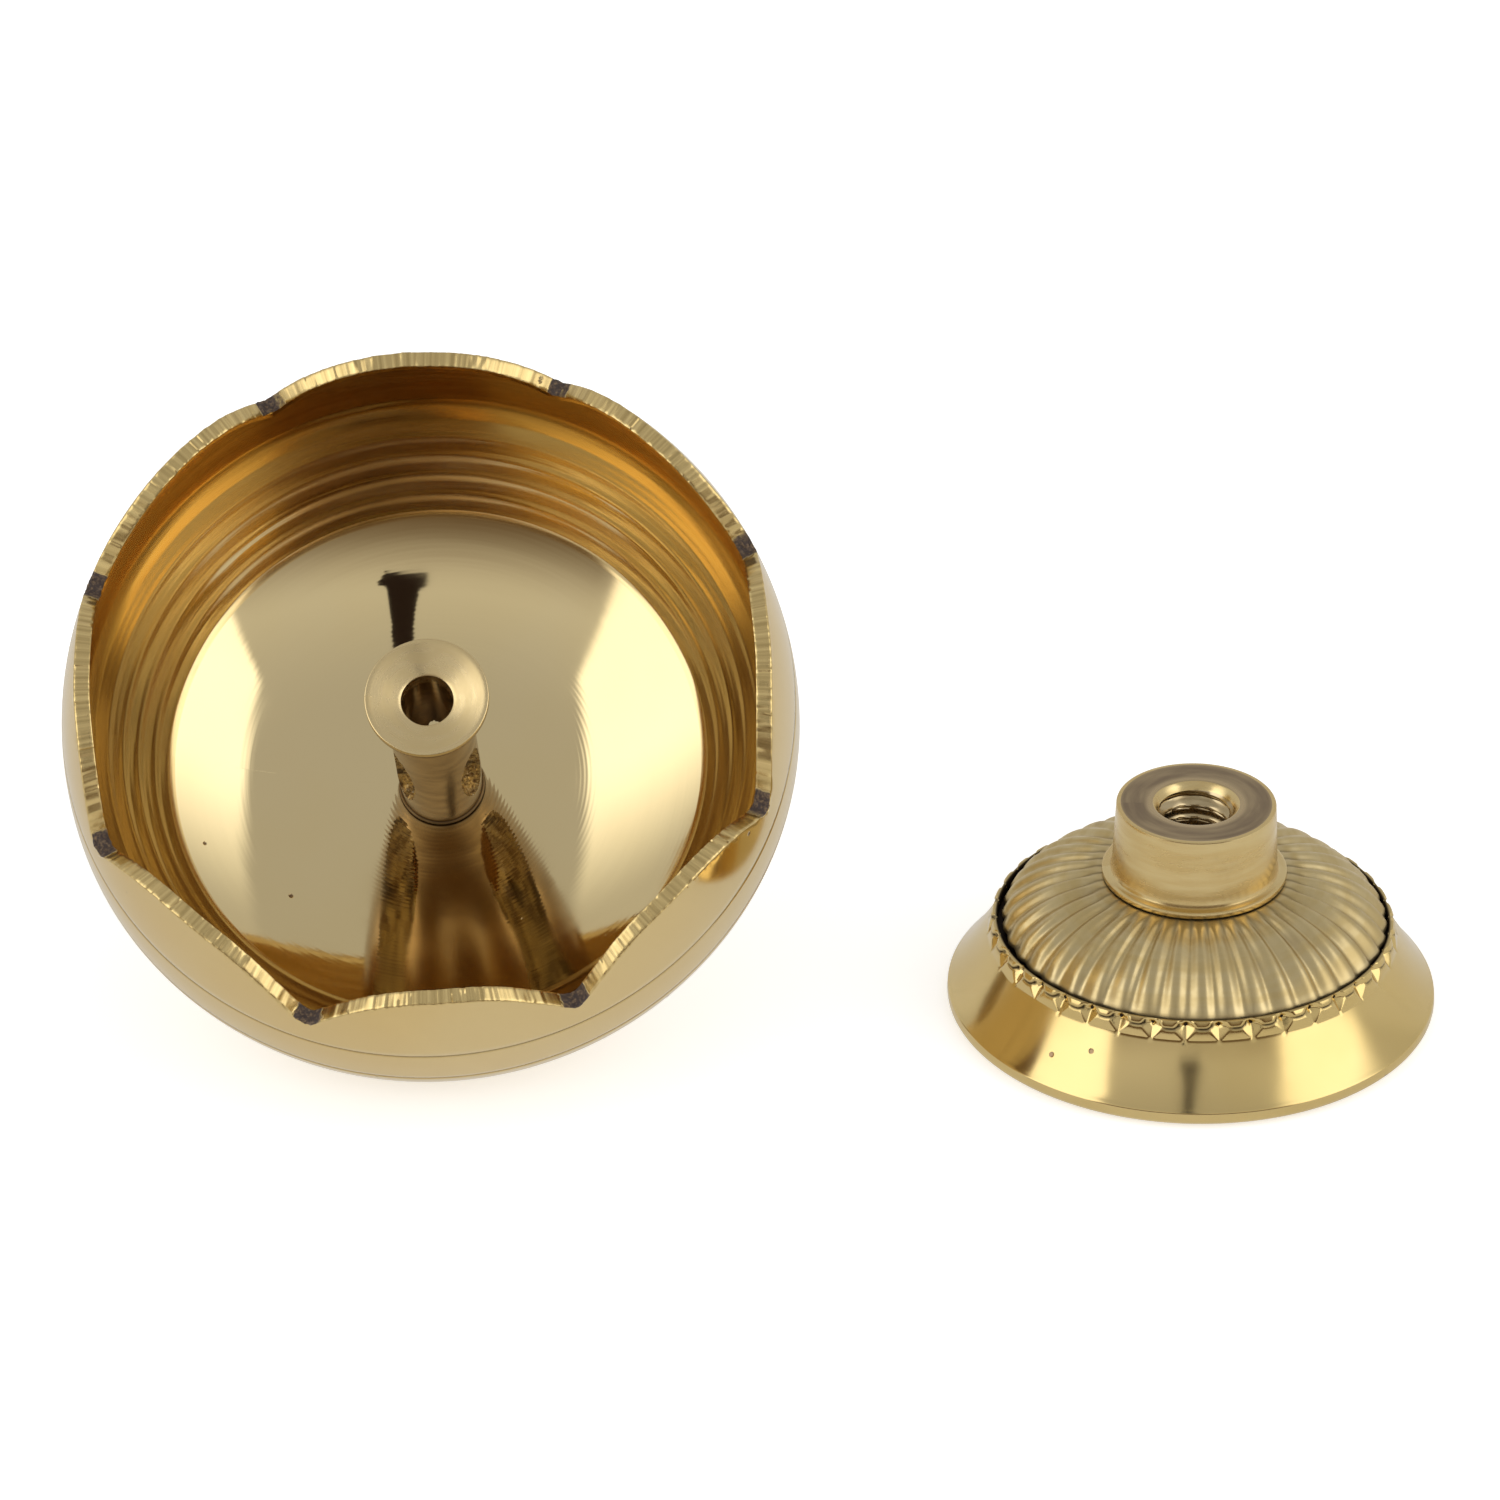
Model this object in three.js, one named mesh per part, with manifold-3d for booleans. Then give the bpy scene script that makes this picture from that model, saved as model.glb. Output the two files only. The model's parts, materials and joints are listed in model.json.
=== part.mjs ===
// Brass oil-lamp bowl with a lotus rim, a lift-out wick post and a screw-on pedestal foot.
// Millimetres, +Z up. The foot stands upright; the unscrewed bowl lies beside it on its
// belly and on the end of its threaded tail. The origin is under the middle of the pair.
import * as THREE from 'three';
import { mergeVertices } from 'three/addons/utils/BufferGeometryUtils.js';
import Module from 'manifold-3d';

const wasm = await Module();
wasm.setup();

const TURN = 2 * Math.PI;
const GAP = 0.3; // running gap between neighbouring pieces

// Thread shared by the post's tail and the foot's bush: 5/16 inch Whitworth.
const THREAD = { pitch: 1.411, major: 3.85, minor: 3.05, clearance: 0.15, sides: 20 };

// Bowl, measured from the plane of its greatest diameter.
const BOWL = {
  radius: 38.2, // greatest outside radius
  upper: 42.3, // half height of the ellipse that the wall follows above that plane
  corner: 11.5, // radius of the belly below that plane
  depth: 19.8, // from that plane down to the outside of the bottom
  wall: 1.8,
  cornerTop: 1.5, // inside, height above which the wall is of even thickness
  cornerBend: [[36.35, -1.9], [31, -7.3]], // control points of the thicker corner's curve
  floorEdge: 28.2, // radius where that corner ends in the round floor
  seat: 8.5, // radius of the flat pad under the bottom that meets the foot's boss
  hole: 4.15, // hole for the post's tail
  bellySteps: 5,
  cornerSteps: 6,
  bottomSteps: 5,
};

// Lotus rim, filed by hand: eight petals, whose notches wander by a degree or two.
const RIM = {
  petals: 8,
  notch: 8.5, // height of the notches above the greatest diameter
  rise: 7.1, // height of the petal tips above the notches
  roundness: 2.6, // exponent of the petals' outline
  firstNotch: 117.3, // degrees
  drift: [2, -2, 0, -0.5, -0.5, 1, 0.5, 0], // degrees, clockwise from the first notch
  columns: 12, // facets across one petal
};

// Engraved lines round the bowl: heights above the greatest diameter, and where the plain
// wall goes on above them.
const LINES = { low: -0.6, high: 5.4, depth: 0.18, half: 0.3, end: 6 };

// Wick post: a dished head on a bored neck, with a threaded tail under the bowl.
const POST = {
  headTop: 8.6, // above the bowl's greatest diameter
  headRadius: 6.4,
  headEdge: 0.9, // height of the head's rim
  headUnder: 1.3, // height of the cone under the head
  dish: 1.1, // depth of the cone in the top of the head
  bore: 2.7,
  boreEnd: -11,
  neck: 4.45,
  shoulder: 4.6,
  shoulderHeight: 0.5,
  shank: 3.75,
  tail: 15, // length of tail below the bowl
  tip: 0.8, // chamfer on the end of the tail
  sides: 32,
};

// Oil ports filed into the neck all round, near the floor of the bowl.
const PORT = {
  reach: 3.4, // half size towards the axis
  halfWidth: 2.2,
  halfHeight: 6,
  centreHeight: -8.8,
  offset: 5.6, // distance of the centre from the axis
  turns: [95, 215, 335], // degrees
  sides: [12, 8],
};

// Foot: a flared skirt, a fluted dome staked into it, and a threaded boss on top.
const FOOT = { height: 23.7, dome: 15.3 };
const DOME = {
  sheet: 0.9, // thickness at the crown
  edgeSheet: 0.63, // thickness at the staked edge
  arc: 66, // degrees that the section turns through
  flutes: 42,
  fluteDepth: 0.42,
  fluteRunIn: 1 / 3, // share of the section over which the flutes reach full depth
  perFlute: 3,
  steps: 6,
};
const BOSS = {
  top: 8.25, // outside radii at the top and at the collar
  base: 8.6,
  side: 7.6, // height above the collar
  collar: 9.6,
  collarHeight: 0.5,
  spigot: 4.95, // tube that passes through the dome
  peen: 6.2, // rivet ring that holds the dome from inside
  peenHeight: 0.8,
  end: 9.7, // height of the tube's lower end
  chamfer: 0.5,
  mouth: 4.45,
  countersink: 1,
  sides: 40,
};
const SKIRT = {
  base: 23.3, // radius that stands on the table
  foot: 22.4, // radius inside it
  radius: 25.4,
  rounding: [24.7, 0.3], // point of the rounded corner under the lip
  lip: [1, 1.5], // heights between which the edge stands upright
  brink: [25.1, 2.1], // radius and height where the flare begins
  waist: [21.25, 8], // where it ends and the staked edge begins
  bend: [[23.6, 3.9], [22.35, 5.95]], // control points of its curve
  brow: [21.1, 9], // radius and height of the staked edge's lower side
  crest: 20.65, // radius of its top
  seam: 20.3,
  seamHeight: 10,
  ledge: 18.4, // ring that the dome's edge rests on
  ledgeHeight: 8.7,
  wall: 1.5,
  hollow: 20.7, // radius inside the flare, under the ledge
  marks: 38,
  tooth: 0.3,
  flareSteps: 6,
};

// Places of the two halves on the table, and how the loose bowl leans.
const LEAN = { tilt: 39.8, swing: 2.2 }; // degrees
const BOWL_PLACE = { x: -32.95, y: -44.54 };
const FOOT_PLACE = { x: 46, y: -51.9 };

const rad = THREE.MathUtils.degToRad;

// A closed ring: one closed outline of [radius, height] points for each angle.
function ringSolid(angles, outlineAt) {
  const columns = angles.map((angle, i) => outlineAt(i, angle));
  const rows = columns[0].length;
  const positions = columns.flatMap((outline, i) =>
    outline.flatMap(([r, z]) => [r * Math.cos(angles[i]), r * Math.sin(angles[i]), z]));
  const index = [];
  for (let i = 0; i < angles.length; i += 1) {
    const next = (i + 1) % angles.length;
    for (let j = 0; j < rows; j += 1) {
      const up = (j + 1) % rows;
      const [a, b, c, d] = [i * rows + j, next * rows + j, next * rows + up, i * rows + up];
      index.push(a, b, c, a, c, d);
    }
  }
  const geometry = new THREE.BufferGeometry();
  geometry.setAttribute('position', new THREE.Float32BufferAttribute(positions, 3));
  geometry.setIndex(index);
  return geometry;
}

const evenAngles = (count, start = 0) =>
  Array.from({ length: count }, (_, i) => start + (TURN * i) / count);

// A solid turned about Z from an outline that starts and ends on the axis.
function turned(outline, sides) {
  const points = outline.map(([r, z]) => new THREE.Vector2(r, z));
  return new THREE.LatheGeometry(points, sides).rotateX(Math.PI / 2);
}

function toManifold(geometry) {
  const bare = geometry.clone();
  bare.deleteAttribute('normal');
  bare.deleteAttribute('uv');
  const merged = mergeVertices(bare, 1e-4);
  const solid = new wasm.Mesh({
    numProp: 3,
    vertProperties: new Float32Array(merged.attributes.position.array),
    triVerts: new Uint32Array(merged.index.array),
  });
  return new wasm.Manifold(solid);
}

function fromManifold(manifold) {
  const { vertProperties, triVerts } = manifold.getMesh();
  const geometry = new THREE.BufferGeometry();
  geometry.setAttribute('position', new THREE.BufferAttribute(new Float32Array(vertProperties), 3));
  geometry.setIndex(new THREE.BufferAttribute(new Uint32Array(triVerts), 1));
  return geometry;
}

// A threaded rod along Z whose crest and root run as one helix from bottom to top.
function threadedRod(major, minor, bottom, top) {
  const { pitch, sides } = THREAD;
  const rows = 2 * Math.ceil((top - bottom) / pitch) + 2;
  const start = bottom - pitch;
  const positions = [0, 0, start + pitch / 2, 0, 0, start + (rows * pitch) / 2 + pitch / 2];
  const index = [];
  const seen = new Map();
  const vertex = (i, j) => {
    const [column, row] = i === sides ? [0, j + 2] : [i, j];
    const key = `${column}/${row}`;
    if (!seen.has(key)) {
      const r = row % 2 === 0 ? minor : major;
      const angle = (TURN * column) / sides;
      const z = start + (row * pitch) / 2 + (pitch * column) / sides;
      seen.set(key, positions.length / 3);
      positions.push(r * Math.cos(angle), r * Math.sin(angle), z);
    }
    return seen.get(key);
  };
  const quad = (a, b, c, d) => index.push(a, b, c, a, c, d);
  for (let i = 0; i < sides; i += 1) {
    for (let j = 0; j < rows; j += 1) {
      quad(vertex(i, j), vertex(i + 1, j), vertex(i + 1, j + 1), vertex(i, j + 1));
    }
    index.push(0, vertex(i + 1, 0), vertex(i, 0));
    index.push(1, vertex(i, rows), vertex(i + 1, rows));
  }
  index.push(0, vertex(0, 1), vertex(0, 2), 0, vertex(0, 0), vertex(0, 1));
  index.push(1, vertex(0, rows + 2), vertex(0, rows + 1), 1, vertex(0, rows + 1), vertex(0, rows));
  const geometry = new THREE.BufferGeometry();
  geometry.setAttribute('position', new THREE.Float32BufferAttribute(positions, 3));
  geometry.setIndex(index);
  return toManifold(geometry);
}

// ---- bowl ----------------------------------------------------------------------------

// The belly's arc turns down to this angle, where the sphere of the bottom takes over.
const run = BOWL.radius - BOWL.corner;
const bellyEnd = Math.PI / 2 - 2 * Math.atan((BOWL.depth - BOWL.corner) / run);
const bottomRadius = BOWL.corner + run / Math.cos(bellyEnd);
const bottomCentre = bottomRadius - BOWL.depth;

const stepsTo = (count) => Array.from({ length: count }, (_, k) => (k + 1) / count);

function curve(points, steps) {
  return new THREE.CubicBezierCurve(...points.map((p) => new THREE.Vector2(...p)))
    .getPoints(steps)
    .map((p) => [p.x, p.y]);
}

// Section down the outside of the belly.
function bellySection() {
  return stepsTo(BOWL.bellySteps).map((t) =>
    [run + BOWL.corner * Math.cos(bellyEnd * t), -BOWL.corner * Math.sin(bellyEnd * t)]);
}

// Section down the inside of the corner, to the floor's edge.
function cornerSection() {
  const { wall, cornerTop, cornerBend, cornerSteps, floorEdge } = BOWL;
  const edgeHeight = bottomCentre - Math.sqrt((bottomRadius - wall) ** 2 - floorEdge ** 2);
  const top = [upperRadius(cornerTop) - wall, cornerTop];
  return curve([top, ...cornerBend, [floorEdge, edgeHeight]], cornerSteps);
}

// Section across the bottom's sphere, moved up by the inset, from one radius in to another.
function bottomSection(inset, outermost, innermost) {
  const r = bottomRadius - inset;
  const from = Math.asin(outermost / r);
  const to = Math.asin(innermost / r);
  return stepsTo(BOWL.bottomSteps).map((t) => {
    const angle = from + (to - from) * t;
    return [r * Math.sin(angle), bottomCentre - r * Math.cos(angle)];
  });
}

function upperRadius(height) {
  return BOWL.radius * Math.sqrt(1 - (height / BOWL.upper) ** 2);
}

const notchAngles = RIM.drift.map((drift, k) => rad(RIM.firstNotch - (360 / RIM.petals) * k + drift));

// Angle and rim height of each column, petal after petal, running anticlockwise.
function rimColumns() {
  const columns = [];
  for (let k = RIM.petals - 1; k >= 0; k -= 1) {
    const from = notchAngles[(k + 1) % RIM.petals] - (k === RIM.petals - 1 ? TURN : 0);
    const to = notchAngles[k];
    for (let c = 0; c < RIM.columns; c += 1) {
      const along = c / RIM.columns;
      const across = Math.abs(2 * along - 1);
      columns.push({
        angle: from + (to - from) * along,
        height: RIM.notch + RIM.rise * (1 - across ** RIM.roundness),
      });
    }
  }
  return columns;
}

function groove(height) {
  const r = height > 0 ? upperRadius(height) : BOWL.radius;
  return [[r, height - LINES.half], [r - LINES.depth, height], [r, height + LINES.half]];
}

function bowlOutline(rimHeight) {
  const bellyFoot = bottomRadius * Math.cos(bellyEnd);
  const outside = [...bellySection(), ...bottomSection(0, bellyFoot, BOWL.seat)].reverse();
  const inside = [...cornerSection(), ...bottomSection(BOWL.wall, BOWL.floorEdge, BOWL.hole)];
  const middle = (LINES.end + rimHeight) / 2;
  return [
    [BOWL.hole, -BOWL.depth],
    [BOWL.seat, -BOWL.depth],
    ...outside,
    ...groove(LINES.low),
    ...groove(LINES.high),
    [upperRadius(middle), middle],
    [upperRadius(rimHeight), rimHeight],
    [upperRadius(rimHeight) - BOWL.wall, rimHeight],
    [upperRadius(middle) - BOWL.wall, middle],
    ...inside,
  ];
}

function bowlShell() {
  const columns = rimColumns();
  return ringSolid(columns.map((c) => c.angle), (i) => bowlOutline(columns[i].height));
}

// ---- wick post -----------------------------------------------------------------------

function postBody() {
  const underHead = POST.headTop - POST.headEdge;
  const base = BOWL.wall - BOWL.depth + GAP;
  return toManifold(turned([
    [0, -BOWL.depth - GAP],
    [POST.shank, -BOWL.depth - GAP],
    [POST.shank, base],
    [POST.shoulder, base],
    [POST.shoulder, base + POST.shoulderHeight],
    [POST.neck, base + 2 * POST.shoulderHeight],
    [POST.neck, underHead - POST.headUnder],
    [POST.headRadius, underHead],
    [POST.headRadius, POST.headTop],
    [POST.bore, POST.headTop - POST.dish],
    [POST.bore, POST.boreEnd],
    [0, POST.boreEnd - POST.bore / 2],
  ], POST.sides));
}

function postTail() {
  const top = -BOWL.depth - GAP;
  const end = -BOWL.depth - POST.tail;
  const rod = threadedRod(THREAD.major, THREAD.minor, end, top);
  const limit = toManifold(turned([
    [0, end],
    [THREAD.minor - POST.tip / 2, end],
    [THREAD.major + GAP, end + 2 * POST.tip],
    [THREAD.major + GAP, top],
    [0, top],
  ], THREAD.sides));
  return rod.intersect(limit);
}

function oilPort(turn) {
  const port = new THREE.SphereGeometry(1, ...PORT.sides);
  port.scale(PORT.reach, PORT.halfWidth, PORT.halfHeight);
  port.translate(PORT.offset, 0, PORT.centreHeight);
  return toManifold(port.rotateZ(rad(turn)));
}

function wickPost() {
  const blank = postBody().add(postTail());
  return fromManifold(PORT.turns.map(oilPort).reduce((post, port) => post.subtract(port), blank));
}

// ---- foot ----------------------------------------------------------------------------

function bossBlank() {
  const collarTop = FOOT.height - BOSS.side;
  const collarBottom = collarTop - BOSS.collarHeight;
  const peenTop = FOOT.dome - DOME.sheet - GAP;
  return toManifold(turned([
    [0, BOSS.end],
    [BOSS.spigot - BOSS.chamfer, BOSS.end],
    [BOSS.spigot, BOSS.end + BOSS.chamfer],
    [BOSS.spigot, peenTop - BOSS.peenHeight],
    [BOSS.peen, peenTop - BOSS.peenHeight / 2],
    [BOSS.peen, peenTop],
    [BOSS.spigot, peenTop],
    [BOSS.spigot, collarBottom],
    [BOSS.collar, collarBottom],
    [BOSS.collar, collarTop],
    [BOSS.base, collarTop],
    [BOSS.top, FOOT.height],
    [0, FOOT.height],
  ], BOSS.sides));
}

function footBoss() {
  const play = THREAD.clearance;
  const depth = BOSS.countersink;
  const bore = threadedRod(THREAD.major + play, THREAD.minor + play, BOSS.end, FOOT.height + depth);
  const mouth = toManifold(turned([
    [0, FOOT.height - depth],
    [BOSS.mouth - depth, FOOT.height - depth],
    [BOSS.mouth + depth, FOOT.height + depth],
    [0, FOOT.height + depth],
  ], THREAD.sides));
  return fromManifold(bossBlank().subtract(bore).subtract(mouth));
}

// Radius and height along the dome, from its crown (0) to its staked edge (1).
function domePoint(t, inset) {
  const inner = BOSS.collar - GAP;
  const outer = SKIRT.seam - GAP;
  const edge = SKIRT.ledgeHeight + GAP + DOME.sheet;
  const last = rad(DOME.arc);
  const spread = Math.sin(t * last) / Math.sin(last);
  const fall = (1 - Math.cos(t * last)) / (1 - Math.cos(last));
  return [inner + (outer - inner) * spread - inset, FOOT.dome - (FOOT.dome - edge) * fall - inset];
}

// The dome's outer skin, pressed in by the depth of a flute.
function domeSkin(depth) {
  return [0, ...stepsTo(DOME.steps)].map((t) => {
    const [r, z] = domePoint(t, 0);
    const cut = depth * Math.min(1, t / DOME.fluteRunIn);
    return [r - cut * t, z - cut];
  });
}

function domeBack() {
  return [0, 1 / 3, 2 / 3].map((t) =>
    domePoint(t, DOME.sheet + (DOME.edgeSheet - DOME.sheet) * t));
}

function footDome() {
  const hole = BOSS.spigot + GAP;
  const rest = SKIRT.ledgeHeight + GAP;
  return ringSolid(evenAngles(DOME.flutes * DOME.perFlute), (i) => {
    const skin = domeSkin(i % DOME.perFlute === 0 ? DOME.fluteDepth : 0);
    return [
      [hole, FOOT.dome - DOME.sheet],
      ...domeBack(),
      [SKIRT.ledge, rest],
      [skin[DOME.steps][0], rest],
      ...skin.reverse(),
      [hole, FOOT.dome],
    ];
  });
}

function footSkirt() {
  const flare = curve([SKIRT.brink, ...SKIRT.bend, SKIRT.waist], SKIRT.flareSteps);
  const [browRadius, browHeight] = SKIRT.brow;
  return ringSolid(evenAngles(SKIRT.marks * 2), (i) => {
    const tooth = i % 2 === 0 ? SKIRT.tooth : 0;
    return [
      [SKIRT.foot, 0],
      [SKIRT.base, 0],
      SKIRT.rounding,
      ...SKIRT.lip.map((height) => [SKIRT.radius, height]),
      ...flare,
      [browRadius - tooth, browHeight],
      [SKIRT.crest, SKIRT.seamHeight],
      [SKIRT.seam, SKIRT.seamHeight],
      [SKIRT.seam, SKIRT.ledgeHeight],
      [SKIRT.ledge, SKIRT.ledgeHeight],
      [SKIRT.ledge, SKIRT.ledgeHeight - SKIRT.wall],
      [SKIRT.hollow, SKIRT.ledgeHeight - 2 * SKIRT.wall],
      [SKIRT.foot + GAP, SKIRT.brink[1]],
    ];
  });
}

// ---- layout --------------------------------------------------------------------------

const polished = { color: 0xd8b25c, roughness: 0.08, metalness: 1 };
const brushed = { color: 0xc9a860, roughness: 0.32, metalness: 1 };

function piece(name, geometry, finish) {
  geometry.computeVertexNormals();
  const mesh = new THREE.Mesh(geometry, new THREE.MeshStandardMaterial(finish));
  mesh.name = name;
  return mesh;
}

const bowl = new THREE.Group();
bowl.add(piece('bowl_shell', bowlShell(), polished), piece('wick_post', wickPost(), brushed));
bowl.rotation.order = 'ZXY';
bowl.rotation.set(rad(LEAN.tilt), 0, rad(-LEAN.swing));
const bellyHeight = run * Math.sin(rad(LEAN.tilt)) + BOWL.corner;
bowl.position.set(BOWL_PLACE.x, BOWL_PLACE.y, bellyHeight);

const foot = new THREE.Group();
foot.add(
  piece('foot_skirt', footSkirt(), polished),
  piece('foot_dome', footDome(), brushed),
  piece('foot_boss', footBoss(), brushed),
);
foot.position.set(FOOT_PLACE.x, FOOT_PLACE.y, 0);

const lamp = new THREE.Group();
lamp.add(bowl, foot);
const box = new THREE.Box3().setFromObject(lamp, true);
lamp.position.set(-(box.min.x + box.max.x) / 2, -(box.min.y + box.max.y) / 2, -box.min.z);

export default lamp;
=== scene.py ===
"""Looks of the brass oil-lamp bowl and its screw-on foot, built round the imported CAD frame.

Sizes in the geometry are millimetres in each half's own frame, with Z along its axis of
turning. The objects are in metres, placed by the frame's axes, mounts and boxes.
"""

import json
import math

import bmesh
import bpy
import numpy as np
from mathutils import Matrix, Vector


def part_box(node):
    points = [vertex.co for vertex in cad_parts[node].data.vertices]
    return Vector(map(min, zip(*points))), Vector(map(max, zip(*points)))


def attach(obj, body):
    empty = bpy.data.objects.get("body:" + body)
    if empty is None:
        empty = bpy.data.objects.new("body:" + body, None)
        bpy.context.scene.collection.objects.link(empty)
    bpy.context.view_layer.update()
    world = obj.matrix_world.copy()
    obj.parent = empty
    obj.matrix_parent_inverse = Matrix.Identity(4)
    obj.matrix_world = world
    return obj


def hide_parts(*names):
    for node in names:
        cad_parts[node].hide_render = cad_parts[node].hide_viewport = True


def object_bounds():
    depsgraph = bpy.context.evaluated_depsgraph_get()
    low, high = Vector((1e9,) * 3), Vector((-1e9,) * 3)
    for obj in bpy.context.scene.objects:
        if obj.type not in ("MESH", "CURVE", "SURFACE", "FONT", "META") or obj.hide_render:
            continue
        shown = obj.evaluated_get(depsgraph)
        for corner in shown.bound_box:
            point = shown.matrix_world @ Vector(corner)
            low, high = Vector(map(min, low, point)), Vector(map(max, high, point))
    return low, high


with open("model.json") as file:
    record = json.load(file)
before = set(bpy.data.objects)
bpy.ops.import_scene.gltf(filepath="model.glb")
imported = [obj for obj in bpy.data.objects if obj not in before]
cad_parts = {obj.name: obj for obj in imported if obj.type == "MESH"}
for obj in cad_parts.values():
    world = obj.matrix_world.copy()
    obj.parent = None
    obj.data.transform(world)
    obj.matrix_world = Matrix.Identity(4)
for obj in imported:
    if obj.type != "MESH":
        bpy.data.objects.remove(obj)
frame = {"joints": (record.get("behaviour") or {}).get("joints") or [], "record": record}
cad_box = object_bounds()

MM = 0.001
TURN = 2 * math.pi

# ---- sizes that the CAD part also has ---------------------------------------------------

RADIUS = 38.12  # bowl's greatest outside radius, at height 0, just inside the CAD's facets
UPPER = 42.3  # half height of the ellipse that its wall follows above that
CORNER = 11.5  # belly's radius below it
DEPTH = 19.8
WALL = 1.8
SEAT = 8.5
HOLE = 4.15
RUN = RADIUS - CORNER
BELLY_END = math.pi / 2 - 2 * math.atan((DEPTH - CORNER) / RUN)
BOTTOM_RADIUS = CORNER + RUN / math.cos(BELLY_END)
BOTTOM_CENTRE = BOTTOM_RADIUS - DEPTH
CORNER_TOP = 1.5  # height above which the wall is of even thickness
CORNER_BEND = ((36.35, -1.9), (31, -7.3))  # control points of the thicker inner corner
FLOOR_EDGE = 28.2  # radius where that corner ends in the round floor
LINES = (-0.6, 5.4)  # heights of the engraved lines

PETALS = 8
NOTCH = 8.5
RISE = 7.1
ROUNDNESS = 2.6
FIRST_NOTCH = 117.3
DRIFT = (2, -2, 0, -0.5, -0.5, 1, 0.5, 0)

PITCH = 1.411
THREAD_MAJOR = 3.85
THREAD_MINOR = 3.05

HEAD_TOP = 8.6
HEAD = 6.4
HEAD_EDGE = 0.9
HEAD_UNDER = 1.3  # height of the cone under the head
DISH = 1.1  # depth of the cone in the head's top
NECK = 4.45
SHOULDER = 4.55
SHANK = 3.75
BORE = 2.7
BORE_END = -11
TAIL = 15
PORT_TURNS = (95, 215, 335)  # degrees
PORT_HALVES = (3.4, 2.2, 6.0)  # half sizes towards the axis, round it and along it
PORT_PLACE = (5.6, 0, -8.8)

FOOT_TOP = 23.7
BOSS_TOP = 8.25
BOSS_BASE = 8.6
BOSS_SIDE = 7.6  # height above the collar
BOSS_END = 9.7
COLLAR = 9.6
SPIGOT = 4.95  # tube of the boss that passes through the dome
PEEN = 6.2
BUSH_CLEARANCE = 0.15  # between the tail's thread and the bush's
DOME_TOP = 15.3
DOME_ARC = math.radians(66)
SHEET = 0.9
LEDGE = 8.7
LEDGE_RADIUS = 18.4
SEAM = 20.3
CLEARANCE = 0.3  # between neighbouring pieces


def smoothstep(low, high, value):
    t = np.clip((np.asarray(value, float) - low) / (high - low), 0, 1)
    return t * t * (3 - 2 * t)


# ---- where the two halves stand ---------------------------------------------------------


def mount_place(name):
    found = next(m for m in frame["record"]["mounts"] if m["name"] == name)
    return Vector(found["pos_m"])


def bowl_matrix():
    axis = Vector(next(j["axis"] for j in frame["joints"] if j["name"] == "post_draw")).normalized()
    swing = math.atan2(-axis.x, -axis.y)
    side = Vector((math.cos(swing), -math.sin(swing), 0))
    back = axis.cross(side)
    seat_ring = 6.5 * MM  # the mount's distance from the axis
    centre = mount_place("bowl_seat") - side * seat_ring + axis * DEPTH * MM
    turn = Matrix((side, back, axis)).transposed()
    return Matrix.Translation(centre) @ turn.to_4x4()


def foot_matrix():
    low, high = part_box("foot_skirt")
    middle = (low + high) / 2
    return Matrix.Translation((middle.x, middle.y, 0))


BOWL_AT = bowl_matrix()
FOOT_AT = foot_matrix()

# ---- meshes -----------------------------------------------------------------------------


def strip_faces(columns, rows, closed=False, start=0):
    """Quads (columns, spans, 4) of a strip of rings, numbered column by column."""
    i = np.arange(columns)[:, None]
    j = np.arange(rows if closed else rows - 1)[None, :]
    after, up = (i + 1) % columns, (j + 1) % rows
    corners = [i * rows + j, after * rows + j, after * rows + up, i * rows + up]
    return np.stack(corners, -1) + start


def points_of(angles, radius, height):
    """Points (columns * rows, 3) from the polar coordinates of a strip."""
    radius, height = np.broadcast_arrays(radius, height)
    a = np.asarray(angles)[:, None]
    x, y = radius * np.cos(a), radius * np.sin(a)
    return np.stack([x, y, height], -1).reshape(-1, 3)


def build(name, points, faces, slots, masks, finishes):
    """A smooth closed mesh object from points in millimetres."""
    mesh = bpy.data.meshes.new(name)
    mesh.from_pydata((points * MM).tolist(), [], faces)
    for mask, values in masks.items():
        layer = mesh.attributes.new(mask, "FLOAT", "POINT")
        layer.data.foreach_set("value", np.asarray(values, np.float32).ravel())
    mesh.polygons.foreach_set("material_index", np.asarray(slots, np.int32))
    for finish in finishes:
        mesh.materials.append(finish)
    weld = bmesh.new()
    weld.from_mesh(mesh)
    bmesh.ops.remove_doubles(weld, verts=weld.verts, dist=1e-7)
    bmesh.ops.recalc_face_normals(weld, faces=weld.faces)
    weld.to_mesh(mesh)
    weld.free()
    mesh.shade_smooth()
    mesh.set_sharp_from_angle(angle=math.radians(38))
    piece = bpy.data.objects.new(name, mesh)
    bpy.context.scene.collection.objects.link(piece)
    return piece


def settle(piece, matrix):
    """Moves the mesh to its place, and keeps each point's own coordinates for the finishes."""
    mesh = piece.data
    own = np.empty(len(mesh.vertices) * 3, np.float32)
    mesh.vertices.foreach_get("co", own)
    layer = mesh.attributes.new("own", "FLOAT_VECTOR", "POINT")
    layer.data.foreach_set("vector", own)
    mesh.transform(matrix)
    return piece


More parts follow.
